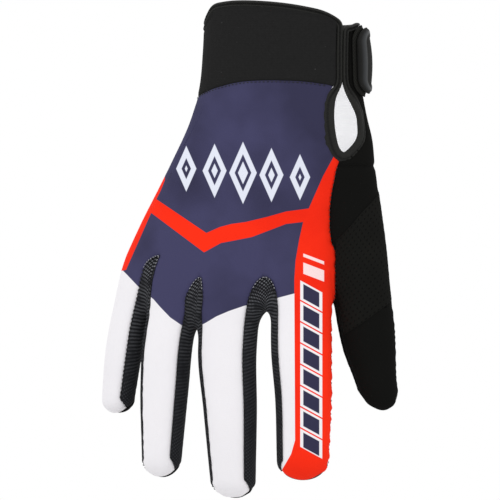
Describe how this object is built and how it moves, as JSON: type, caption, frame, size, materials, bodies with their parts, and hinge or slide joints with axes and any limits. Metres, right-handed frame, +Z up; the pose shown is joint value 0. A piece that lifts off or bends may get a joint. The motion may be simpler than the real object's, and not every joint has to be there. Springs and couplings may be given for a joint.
{
  "type": "motocross riding glove",
  "caption": "Full-finger riding glove for the right hand, held as if worn, with a printed stretch back, suede palm, mesh finger sides, neoprene cuff and wrist strap.",
  "frame": {"origin": "centre of the wrist opening, at the level where the cuff's edge begins", "axes": "+Z up the forearm, away from the fingers; -Y out of the back of the hand; +X to the thumb's side"},
  "size_m": [0.1535, 0.059, 0.249],
  "materials": {
    "printed_fabric": "matte",
    "black_mesh": "matte",
    "black_suede": "matte",
    "neoprene": "matte",
    "binding_cloth": "matte",
    "strap_webbing": "matte",
    "moulded_rubber": "satin"
  },
  "bodies": {
    "root": {"back_panel": "printed_fabric", "fourchette_little_ring": "black_mesh", "fourchette_ring_middle": "black_mesh", "fourchette_middle_index": "black_mesh", "palm": "black_suede", "thumb_back": "black_suede", "thumb_palm": "black_suede", "thumb_patch": "black_suede", "cuff": "neoprene", "cuff_binding": "binding_cloth", "strap_band": "strap_webbing", "strap_plate": "moulded_rubber"}
  },
  "joints": []
}
